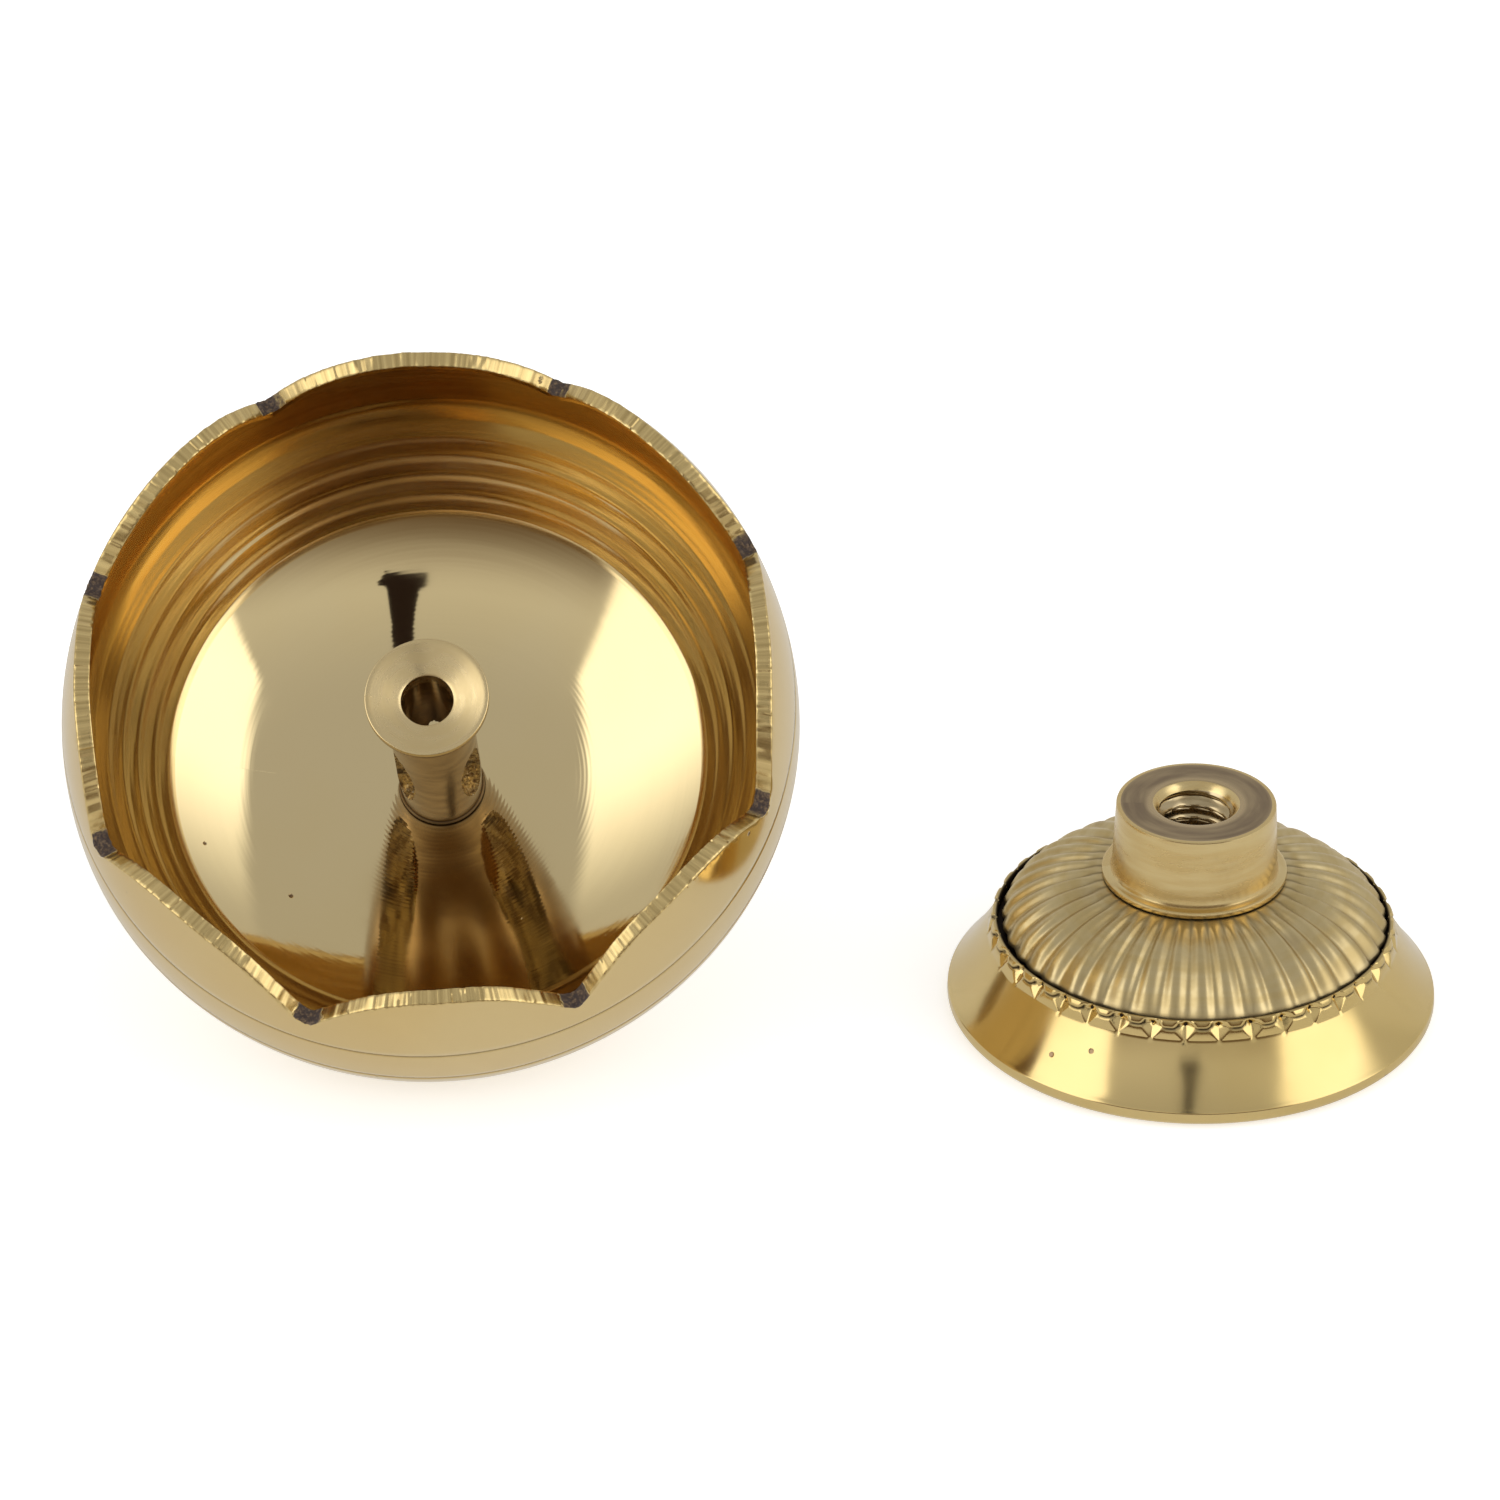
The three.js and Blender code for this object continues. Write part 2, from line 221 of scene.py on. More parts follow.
class Section:
    """Rows of radius and height that run along a section, with the slot of each span."""

    def __init__(self, columns):
        self.columns = columns
        self.radius, self.height, self.slots, self.painted_shade = [], [], [], []

    # The last argument is each row's share of painted shade, which darkens its colour.
    def add(self, radius, height, slot, painted_shade=0.0):
        """Adds rows. Each value is a number, a row of numbers, or (columns, rows)."""
        r, z, g = np.broadcast_arrays(*(np.asarray(v, float) for v in (radius, height, painted_shade)))
        if r.ndim == 0:
            r, z, g = r[None], z[None], g[None]
        shape = (self.columns, r.shape[-1])
        for store, value in ((self.radius, r), (self.height, z), (self.painted_shade, g)):
            store.append(np.broadcast_to(value, shape))
        self.slots += [slot] * r.shape[-1]
        return self

    def arrays(self):
        join = [np.concatenate(part, axis=1) for part in (self.radius, self.height, self.painted_shade)]
        return (*join, np.array(self.slots))

    def build(self, name, angles, finishes, closed=True):
        radius, height, painted_shade, slots = self.arrays()
        faces = strip_faces(self.columns, radius.shape[1], closed)
        spans = slots[: faces.shape[1]]
        slot_of_face = np.tile(spans, self.columns)
        points = points_of(angles, radius, height)
        flat = faces.reshape(-1, 4).tolist()
        return build(name, points, flat, slot_of_face, {"painted_shade": painted_shade}, finishes)


def even(columns, start=0.0):
    return start + np.arange(columns) * TURN / columns


def ripple(seed, count, wavelength, length):
    """A smooth periodic row of noise between about -1 and 1, round a line of that length."""
    rng = np.random.RandomState(seed)
    knots = max(4, int(round(length / wavelength)))
    values = rng.uniform(-1, 1, knots)
    at = np.arange(count) * knots / count
    low = np.floor(at).astype(int)
    t = at - low
    t = t * t * (3 - 2 * t)
    return values[low % knots] * (1 - t) + values[(low + 1) % knots] * t


# ---- finishes ---------------------------------------------------------------------------

BRASS = (0.76, 0.61, 0.33)
PALE_BRASS = (0.78, 0.65, 0.40)
WARM_BRASS = (0.74, 0.54, 0.24)
TARNISH = (0.28, 0.19, 0.11)
CAST = (0.085, 0.062, 0.055)
# Near-black painted shade, laid on through a mask in the flutes' valleys, the seams, under the collar
# and stake tongues, at the post's joint and along the engraved lines.
PAINTED_SHADE_COLOUR = (0.035, 0.024, 0.018)


class Nodes:
    """Adds nodes to a tree. Inputs are sockets or plain values."""

    def __init__(self, tree):
        self.tree = tree

    def node(self, kind, inputs=None, **settings):
        made = self.tree.nodes.new(kind)
        for key, value in settings.items():
            setattr(made, key, value)
        for key, value in (inputs or {}).items():
            if isinstance(value, bpy.types.NodeSocket):
                self.tree.links.new(value, made.inputs[key])
            elif value is not None:
                made.inputs[key].default_value = value
        return made

    def math(self, operation, a, b=None, clamp=False):
        made = self.node("ShaderNodeMath", {0: a, 1: b}, operation=operation, use_clamp=clamp)
        return made.outputs[0]

    def times(self, value, factor):
        return self.math("MULTIPLY", value, factor)

    def total(self, *values):
        result = values[0]
        for value in values[1:]:
            result = self.math("ADD", result, value)
        return result

    def fade(self, value, low, high, at_low=0.0, at_high=1.0):
        """at_low below low, at_high above high, and smooth between."""
        inputs = {"Value": value, "From Min": low, "From Max": high}
        inputs |= {"To Min": at_low, "To Max": at_high}
        made = self.node("ShaderNodeMapRange", inputs, interpolation_type="SMOOTHSTEP")
        return made.outputs[0]

    def blend(self, share, first, second):
        """A mix of two colours, each a triple or a socket."""
        made = self.node("ShaderNodeMix", data_type="RGBA")
        for socket, value in ((made.inputs[6], first), (made.inputs[7], second)):
            if isinstance(value, bpy.types.NodeSocket):
                self.tree.links.new(value, socket)
            else:
                socket.default_value = (*value, 1)
        self.tree.links.new(share, made.inputs[0])
        return made.outputs[2]


class Finish(Nodes):
    """A metal made of nodes, in the coordinates of a piece turned round Z."""

    def __init__(self, name):
        self.material = bpy.data.materials.new(name)
        self.material.use_nodes = True
        super().__init__(self.material.node_tree)
        self.shader = self.tree.nodes["Principled BSDF"]
        self.shader.inputs["Metallic"].default_value = 1
        self.place = self.node("ShaderNodeAttribute", attribute_name="own").outputs["Vector"]
        split = self.node("ShaderNodeSeparateXYZ", {0: self.place})
        self.x, self.y, self.z = split.outputs
        squares = self.math("ADD", self.math("POWER", self.x, 2), self.math("POWER", self.y, 2))
        self.radius = self.math("SQRT", squares)
        self.angle = self.math("ARCTAN2", self.y, self.x)

    def noise(self, vector, scale, detail=2.0, roughness=0.5):
        inputs = {"Vector": vector, "Scale": scale, "Detail": detail, "Roughness": roughness}
        return self.node("ShaderNodeTexNoise", inputs).outputs["Fac"]

    def lathe(self, along, round_=1.0):
        """Coordinates whose noise makes lines round the axis, along per metre of section."""
        r = self.math("MULTIPLY", self.radius, along)
        z = self.math("MULTIPLY", self.z, along)
        turn = self.math("MULTIPLY", self.angle, round_)
        return self.node("ShaderNodeCombineXYZ", {0: r, 1: z, 2: turn}).outputs[0]

    def mask(self, name):
        return self.node("ShaderNodeAttribute", attribute_name=name).outputs["Fac"]

    def specks(self, per_metre, size, share):
        """1 in small round spots, spread over part of the surface."""
        inputs = {"Vector": self.place, "Scale": per_metre}
        near = self.node("ShaderNodeTexVoronoi", inputs)
        dot = self.fade(near.outputs["Distance"], size * 0.35, size * 0.6, 1.0, 0.0)
        chosen = self.math("LESS_THAN", self.first(near.outputs["Color"]), share)
        return self.math("MULTIPLY", dot, chosen)

    def first(self, colour):
        return self.node("ShaderNodeSeparateColor", {0: colour}).outputs[0]

    def finish(self, colour=None, roughness=None, metallic=None, height=None):
        """Links what varies over the surface. height is in metres."""
        links = {"Base Color": colour, "Roughness": roughness, "Metallic": metallic}
        for socket, value in links.items():
            if value is not None:
                self.tree.links.new(value, self.shader.inputs[socket])
        if height is not None:
            bump = self.node("ShaderNodeBump", {"Height": height, "Strength": 1, "Distance": 1})
            self.tree.links.new(bump.outputs[0], self.shader.inputs["Normal"])
        return self.material


def polished_floor():
    """The bowl's floor: mirror bright, with fine turned ridges and a few pits."""
    f = Finish("brass_floor")
    tone = f.noise(f.place, 45, 3)
    pits = f.specks(330, 0.16, 0.10)
    colour = f.blend(f.fade(tone, 0.35, 0.7, 0.0, 0.35), BRASS, PALE_BRASS)
    colour = f.blend(pits, colour, TARNISH)
    ridges = f.math("SINE", f.times(f.radius, TURN / (0.46 * MM)))
    patch = f.noise(f.lathe(160, 0.9), 1.0, 1)
    near_post = f.fade(f.radius, 0.006, 0.021, 1.0, 0.12)
    ridge_height = f.times(f.times(ridges, near_post), f.fade(patch, 0.3, 0.6, 0.25, 1.0))
    fine = f.noise(f.lathe(4200, 2.0), 1.0, 2)
    wave = f.noise(f.lathe(420, 0.7), 1.0, 2)
    height = f.total(f.times(ridge_height, 1.1e-6), f.times(fine, 5e-7), f.times(wave, 9e-6),
                     f.times(pits, -3e-5))
    smear = f.noise(f.place, 120, 3)
    roughness = f.total(f.fade(smear, 0.35, 0.75, 0.035, 0.085), f.times(pits, 0.4))
    return f.finish(colour, roughness, height=height)


def turned_wall():
    """The bowl's inner wall: turned, then buffed, with circular lines of several widths."""
    f = Finish("brass_turned_wall")
    tone = f.noise(f.lathe(500, 1.5), 1.0, 3)
    stain = f.noise(f.place, 90, 4)
    colour = f.blend(f.fade(tone, 0.3, 0.75, 0.2, 1.0), BRASS, WARM_BRASS)
    colour = f.blend(f.fade(stain, 0.62, 0.8, 0.0, 0.35), colour, TARNISH)
    broad = f.noise(f.lathe(900, 1.2), 1.0, 2)
    fine = f.noise(f.lathe(6500, 5.0), 1.0, 3)
    height = f.total(f.times(broad, 1.6e-5), f.times(fine, 3.2e-6))
    roughness = f.fade(tone, 0.3, 0.75, 0.10, 0.2)
    return f.finish(colour, roughness, height=height)


def polished_outside():
    """The bowl's outside: buffed, with faint lathe lines, small scratches and pits."""
    f = Finish("brass_outside")
    tone = f.noise(f.place, 38, 3)
    pits = f.specks(240, 0.17, 0.12)
    colour = f.blend(f.fade(tone, 0.35, 0.7), (0.74, 0.55, 0.25), (0.75, 0.58, 0.29))
    colour = f.blend(pits, colour, TARNISH)
    # Painted shade from the mask, along the engraved lines.
    colour = f.blend(f.mask("painted_shade"), colour, PAINTED_SHADE_COLOUR)
    fine = f.noise(f.lathe(5000, 3.0), 1.0, 2)
    wave = f.noise(f.lathe(260, 0.8), 1.0, 2)
    height = f.total(f.times(fine, 1.1e-6), f.times(wave, 1.1e-5), f.times(pits, -4e-5))
    smear = f.noise(f.place, 75, 4)
    roughness = f.total(f.fade(smear, 0.35, 0.75, 0.10, 0.17), f.times(pits, 0.3),
                        f.times(f.mask("painted_shade"), 0.4))
    return f.finish(colour, roughness, height=height)


def filed_rim():
    """The rim's cut face: pale where the file cut, rough and dark where the casting shows."""
    f = Finish("brass_filed_rim")
    cast = f.mask("cast")
    grain = f.noise(f.place, 2600, 4, 0.65)
    broken = f.math("MULTIPLY", cast, 1.0, True)
    patch = f.noise(f.place, 900, 3, 0.6)
    share = f.fade(f.total(broken, f.times(grain, 0.5), f.times(patch, 0.9)), 0.95, 1.25)
    round_rim = f.node("ShaderNodeCombineXYZ", {0: f.times(f.angle, 60.0)}).outputs[0]
    tone = f.noise(round_rim, 1.0, 3)
    metal = f.blend(f.fade(tone, 0.3, 0.7), (0.52, 0.38, 0.16), (0.82, 0.63, 0.29))
    rough_cast = f.blend(f.fade(grain, 0.45, 0.7), CAST, TARNISH)
    colour = f.blend(share, metal, rough_cast)
    height = f.total(f.times(f.times(grain, share), 1.6e-4), f.times(grain, 6e-6))
    roughness = f.fade(share, 0.0, 1.0, 0.27, 0.62)
    metallic = f.fade(share, 0.0, 1.0, 1.0, 0.45)
    return f.finish(colour, roughness, metallic, height)


def satin(name, roughness, lines, depth, tones, along=3600):
    """Turned brass left off the tool, with lines round the axis."""
    f = Finish(name)
    tone = f.noise(f.lathe(along * 0.25, 1.2), 1.0, 3)
    blot = f.noise(f.place, 160, 4)
    colour = f.blend(f.fade(tone, 0.3, 0.7), *tones)
    colour = f.blend(f.fade(blot, 0.60, 0.8, 0.0, 0.4), colour, TARNISH)
    # Painted shade from the mask: in the dome's valleys and seam, under the collar, and round the
    # post's joint with the floor.
    colour = f.blend(f.mask("painted_shade"), colour, PAINTED_SHADE_COLOUR)
    fine = f.noise(f.lathe(along, lines), 1.0, 3)
    height = f.times(fine, depth)
    spread = f.fade(tone, 0.3, 0.7, roughness * 0.85, roughness * 1.2)
    return f.finish(colour, f.total(spread, f.times(f.mask("painted_shade"), 0.4)), height=height)


def port_rough():
    """The oil ports: torn, granular metal in yellow and brown."""
    f = Finish("brass_port")
    grain = f.noise(f.place, 2100, 4, 0.7)
    dark = f.noise(f.place, 700, 3)
    colour = f.blend(f.fade(grain, 0.35, 0.62), TARNISH, PALE_BRASS)
    colour = f.blend(f.fade(dark, 0.5, 0.7, 0.0, 0.8), colour, CAST)
    height = f.times(grain, 1.5e-4)
    return f.finish(colour, f.fade(grain, 0.3, 0.7, 0.6, 0.35), height=height)


def tarnished_top():
    """The boss's top: fine turned rings under a brown tarnish that thins towards the edges."""
    f = Finish("brass_tarnished_top")
    film = f.noise(f.lathe(900, 1.0), 1.0, 4)
    from_edge = f.math("ABSOLUTE", f.math("SUBTRACT", f.radius, 6.5 * MM))
    edge = f.fade(from_edge, 0.9 * MM, 1.7 * MM, 1.0, 0.15)
    share = f.times(edge, f.fade(film, 0.25, 0.7, 0.45, 0.95))
    colour = f.blend(share, (0.55, 0.42, 0.24), (0.24, 0.175, 0.11))
    fine = f.noise(f.lathe(7000, 3.0), 1.0, 2)
    return f.finish(colour, f.fade(share, 0.0, 1.0, 0.26, 0.42), height=f.times(fine, 4e-6))


def mirror_skirt():
    """The skirt: bright polished sheet with soft waves, painted shadow in the stake marks and the seam.
    """
    f = Finish("brass_skirt")
    tone = f.noise(f.place, 55, 3)
    pits = f.specks(260, 0.15, 0.10)
    colour = f.blend(f.fade(tone, 0.35, 0.7), (0.72, 0.55, 0.25), (0.68, 0.51, 0.21))
    colour = f.blend(pits, colour, TARNISH)
    # Painted shadow from the mask, under the stake tongues and in the seam round the dome.
    colour = f.blend(f.mask("painted_shade"), colour, PAINTED_SHADE_COLOUR)
    wave = f.noise(f.lathe(220, 2.2), 1.0, 2)
    fine = f.noise(f.lathe(5200, 3.0), 1.0, 2)
    height = f.total(f.times(wave, 1.4e-5), f.times(fine, 8e-7), f.times(pits, -3e-5))
    smear = f.noise(f.place, 110, 3)
    roughness = f.total(f.fade(smear, 0.35, 0.75, 0.12, 0.2), f.times(f.mask("painted_shade"), 0.5))
    return f.finish(colour, roughness, height=height)


FLOOR_BRASS = polished_floor()
WALL_BRASS = turned_wall()
OUTSIDE_BRASS = polished_outside()
RIM_BRASS = filed_rim()
HEAD_BRASS = satin("brass_head", 0.27, 14.0, 6e-6, ((0.76, 0.60, 0.33), (0.72, 0.56, 0.29)))
NECK_BRASS = satin("brass_neck", 0.2, 2.0, 3e-6, ((0.46, 0.31, 0.15), (0.34, 0.22, 0.10)))
PORT_BRASS = port_rough()
THREAD_BRASS = satin("brass_thread", 0.2, 2.0, 2e-6, ((0.56, 0.45, 0.27), (0.44, 0.34, 0.19)))
DOME_BRASS = satin("brass_dome", 0.34, 3.0, 5e-6, ((0.62, 0.50, 0.27), (0.56, 0.43, 0.20)), 2400)
SKIRT_BRASS = mirror_skirt()
BOSS_BRASS = satin("brass_boss", 0.24, 2.0, 3e-6, ((0.74, 0.58, 0.29), (0.68, 0.50, 0.22)))
TOP_BRASS = tarnished_top()

# ---- bowl -------------------------------------------------------------------------------

FINE = 176  # columns across a petal along the rim
COARSE = 44  # and over the rest of the bowl
GIRTH = TURN * RADIUS
ARC = GIRTH / PETALS  # length of a petal round the rim
NOTCH_FILLET = 0.9
UNDER_RIM = 1.5  # how far below the rim the coarse columns end
# The rim's section: how far each point lies under the rim, and its share of the way across.
RIM_DROP = np.array([1.1, 0.6, 0.32, 0.15, 0.06, 0.01, 0, 0, 0, 0, 0, 0.01, 0.06, 0.15, 0.32, 0.6, 1.1])
RIM_ACROSS = np.array([0, 0, 0, 0, 0.03, 0.09, 0.22, 0.36, 0.5, 0.64, 0.78, 0.91, 0.97, 1, 1, 1, 1])
RIM_THINNING = 0.16
LINE_DEPTH = 0.13
ACROSS_LINE = np.array([-0.24, -0.16, -0.1, -0.05, 0, 0.05, 0.1, 0.16, 0.24])
ON_FLOOR, ON_WALL, ON_OUTSIDE, ON_RIM = range(4)  # the bowl's material slots


def bezier(points, t):
    """Radii and heights along a cubic curve."""
    weights = ((1 - t) ** 3, 3 * t * (1 - t) ** 2, 3 * t**2 * (1 - t), t**3)
    return tuple(sum(w * p[k] for w, p in zip(weights, points)) for k in (0, 1))


def rim_line():
    """Angle, height and distance from the nearest notch, for each fine column."""
    notches = [math.radians(FIRST_NOTCH - 360 / PETALS * k + d) for k, d in enumerate(DRIFT)]
    along = np.arange(FINE) / FINE
    angles = []
    for k in reversed(range(PETALS)):
        begin = notches[(k + 1) % PETALS] - (TURN if k == PETALS - 1 else 0)
        angles.append(begin + (notches[k] - begin) * along)
    across = np.abs(2 * along - 1)
    swell = RISE * (1 - across**ROUNDNESS)
    height = NOTCH + np.sqrt(swell**2 + NOTCH_FILLET**2) - 0.35 * NOTCH_FILLET
    from_notch = (1 - across) * ARC / 2
    return np.concatenate(angles), np.tile(height, PETALS), np.tile(from_notch, PETALS)


def file_marks(count, seed=5):
    """Height and slope across the rim that each stroke of the file left, column by column."""
    rng = np.random.RandomState(seed)
    edges = [0.0]
    while edges[-1] < GIRTH:
        edges.append(edges[-1] + rng.choice([rng.uniform(0.25, 0.5), rng.uniform(0.5, 1.1)]))
    edges = np.array(edges)
    at = np.arange(count) * GIRTH / count
    stroke = np.searchsorted(edges, at, side="right") - 1
    middle = (edges[stroke] + edges[np.minimum(stroke + 1, len(edges) - 1)]) / 2
    depth = rng.uniform(-0.06, 0.03, len(edges))[stroke]
    lean = rng.uniform(-0.16, 0.16, len(edges))[stroke]
    cross = rng.uniform(-0.05, 0.05, len(edges))[stroke]
    return depth + lean * (at - middle), cross


def outer_radius(height):
    return RADIUS * np.sqrt(1 - (np.maximum(height, 0) / UPPER) ** 2)


def inner_wave(travel):
    """Turned waves of the inner wall, by the distance travelled down from the corner's top."""
    corner = smoothstep(3.5, 6.0, travel)
    long = np.sin(TURN * travel / 2.3 + 0.8) * 0.6 + np.sin(TURN * travel / 1.13 + 2.1) * 0.3
    return (0.010 + 0.020 * corner) * long


def inner_rows(rim):
    """Radius, height and slots of the inside, from under the rim down to the hole."""
    top = rim[:, None] - UNDER_RIM
    t = np.linspace(0, 1, 24)[None, :-1]
    upper = top * (1 - t) + CORNER_TOP * t
    section = Section(len(rim))
    section.add(outer_radius(upper) - WALL - inner_wave(CORNER_TOP - upper), upper, ON_WALL)
    sphere = BOTTOM_RADIUS - WALL
    floor_edge = (FLOOR_EDGE, BOTTOM_CENTRE - math.sqrt(sphere**2 - FLOOR_EDGE**2))
    first = (outer_radius(CORNER_TOP) - WALL, CORNER_TOP)
    along = np.linspace(0, 1, 60)
    r, z = bezier((first, *CORNER_BEND, floor_edge), along)
    along_r, along_z = np.gradient(r), np.gradient(z)
    step = np.hypot(along_r, along_z)
    wave = inner_wave(np.cumsum(step)) * (1 - smoothstep(0.93, 1.0, along))
    section.add(r + wave * along_z / step, z - wave * along_r / step, ON_WALL)
    angle = np.linspace(math.asin(FLOOR_EDGE / sphere), math.asin(HOLE / sphere), 38)[1:]
    section.add(sphere * np.sin(angle), BOTTOM_CENTRE - sphere * np.cos(angle), ON_FLOOR)
    section.add(HOLE, np.linspace(-DEPTH + WALL - 0.3, -DEPTH + 0.3, 3), ON_FLOOR)
    return section


def outer_rows(rim):
    """The outside, from the hole under the bottom up to just under the rim."""
    section = Section(len(rim))
    pad = [HOLE, HOLE + 0.3, SEAT - 0.2, SEAT]
    section.add(pad, -DEPTH + np.array([0.1, 0, 0, 0.12]), ON_OUTSIDE)
    sphere_angle = np.linspace(math.asin(SEAT / BOTTOM_RADIUS), math.pi / 2 - BELLY_END, 22)
    section.add(BOTTOM_RADIUS * np.sin(sphere_angle),
                BOTTOM_CENTRE - BOTTOM_RADIUS * np.cos(sphere_angle), ON_OUTSIDE)
    belly = np.linspace(BELLY_END, math.radians(5), 20)[1:]
    section.add(RUN + CORNER * np.cos(belly), -CORNER * np.sin(belly), ON_OUTSIDE)
    height = np.concatenate([LINES[0] + ACROSS_LINE, np.linspace(0.2, 4.9, 8), LINES[1] + ACROSS_LINE])
    # Painted shade along the engraved lines.
    groove = sum(np.clip(1 - np.abs(height - at) / 0.2, 0, 1) for at in LINES)
    under = np.sqrt(np.maximum(CORNER**2 - np.minimum(height, 0) ** 2, 0)) - CORNER
    radius = outer_radius(height) + under - LINE_DEPTH * groove
    section.add(radius, height, ON_OUTSIDE, 0.8 * groove)
    t = np.linspace(0, 1, 12)[None, 1:]
    upper = 5.8 * (1 - t) + (rim[:, None] - UNDER_RIM) * t
    section.add(outer_radius(upper), upper, ON_OUTSIDE)
    return section


def rim_rows(rim, from_notch):
    """The rim in fine columns: outside, rounded edges, filed face and inside."""
    count = len(rim)
    stroke, cross = file_marks(count)
    wobble = 0.09 * ripple(11, count, 3.5, GIRTH) + 0.05 * ripple(12, count, 1.1, GIRTH)
    cast = 1 - smoothstep(0.35, 1.9, from_notch + 0.6 * ripple(13, count, 0.8, GIRTH))
    cast = cast[:, None]
    hold = 1 - smoothstep(0.15, 0.6, RIM_DROP)
    grain = np.random.RandomState(21).normal(0, 1, (count, len(RIM_DROP)))
    grain = (grain + np.roll(grain, 1, 0) + np.roll(grain, -1, 0)) / 2
    slope = cross[:, None] * (RIM_ACROSS - 0.5) * WALL
    lift = stroke[:, None] * (1 - 0.6 * cast) + slope + wobble[:, None] + 0.07 * grain * cast
    height = rim[:, None] - RIM_DROP + lift * hold
    spread = 0.05 * np.roll(grain, 7, 0) * cast * hold
    thickness = WALL - RIM_THINNING * (1 - smoothstep(0.5, 1.1, RIM_DROP))
    radius = outer_radius(rim[:, None] - RIM_DROP) - RIM_ACROSS * thickness + spread
    return radius, height, cast * (1 - smoothstep(0.3, 0.9, RIM_DROP))


def join_steps(coarse, fine, ratio, fine_first):
    """Triangles between a coarse ring and a fine one, which comes first in the section."""
    count, faces = len(coarse), []
    for i in range(count):
        a, b = coarse[i], coarse[(i + 1) % count]
        f = [fine[(ratio * i + k) % len(fine)] for k in range(ratio + 1)]
        half = ratio // 2
        for k in range(ratio):
            corner = a if k < half else b
            faces.append((f[k], f[k + 1], corner) if fine_first else (f[k + 1], f[k], corner))
        faces.append((f[half], b, a) if fine_first else (a, b, f[half]))
    return faces


def bowl_shell():
    angles, rim, from_notch = rim_line()
    ratio = FINE // COARSE
    coarse_angles, coarse_rim = angles[::ratio], rim[::ratio]
    inside, outside = inner_rows(coarse_rim), outer_rows(coarse_rim)
    inner, outer = inside.arrays(), outside.arrays()
    radius, height, painted_shade = (np.concatenate([a, b], axis=1) for a, b in zip(inner[:3], outer[:3]))
    slots = np.concatenate([inner[3], outer[3]])
    rim_radius, rim_height, cast = rim_rows(rim, from_notch)
    columns, rows = radius.shape
    fine_columns, fine_rows = rim_radius.shape
    start = columns * rows
    points = np.concatenate([points_of(coarse_angles, radius, height),
                             points_of(angles, rim_radius, rim_height)])
    quads = strip_faces(columns, rows)
    rim_quads = strip_faces(fine_columns, fine_rows, start=start)
    span = np.arange(fine_rows - 1)
    fine_slots = np.where(span < 3, ON_OUTSIDE, np.where(span > 12, ON_WALL, ON_RIM))
    ring = np.arange(fine_columns) * fine_rows + start
    up = join_steps(np.arange(columns) * rows + rows - 1, ring, ratio, False)
    down = join_steps(np.arange(columns) * rows, ring + fine_rows - 1, ratio, True)
    faces = quads.reshape(-1, 4).tolist() + rim_quads.reshape(-1, 4).tolist() + up + down
    face_slots = np.concatenate([
        np.tile(slots[: rows - 1], columns), np.tile(fine_slots, fine_columns),
        np.full(len(up), ON_OUTSIDE), np.full(len(down), ON_WALL)])
    masks = {"painted_shade": np.concatenate([painted_shade.ravel(), np.zeros(cast.size)]),
             "cast": np.concatenate([np.zeros(painted_shade.size), cast.ravel()])}
    finishes = [FLOOR_BRASS, WALL_BRASS, OUTSIDE_BRASS, RIM_BRASS]
    return build("bowl_shell_fine", points, faces, face_slots, masks, finishes)


# ---- wick post --------------------------------------------------------------------------

ON_HEAD, ON_NECK, IN_PORT, ON_THREAD = range(4)  # the post's material slots


def thread_radius(angles, height, major, minor):
    """Radius of a rounded right-hand thread at each angle and height."""
    phase = height / PITCH - np.asarray(angles)[:, None] / TURN
    ridge = 1 - np.abs(2 * (phase - np.floor(phase)) - 1)
    return minor + (major - minor) * (0.5 - 0.5 * np.cos(math.pi * ridge))


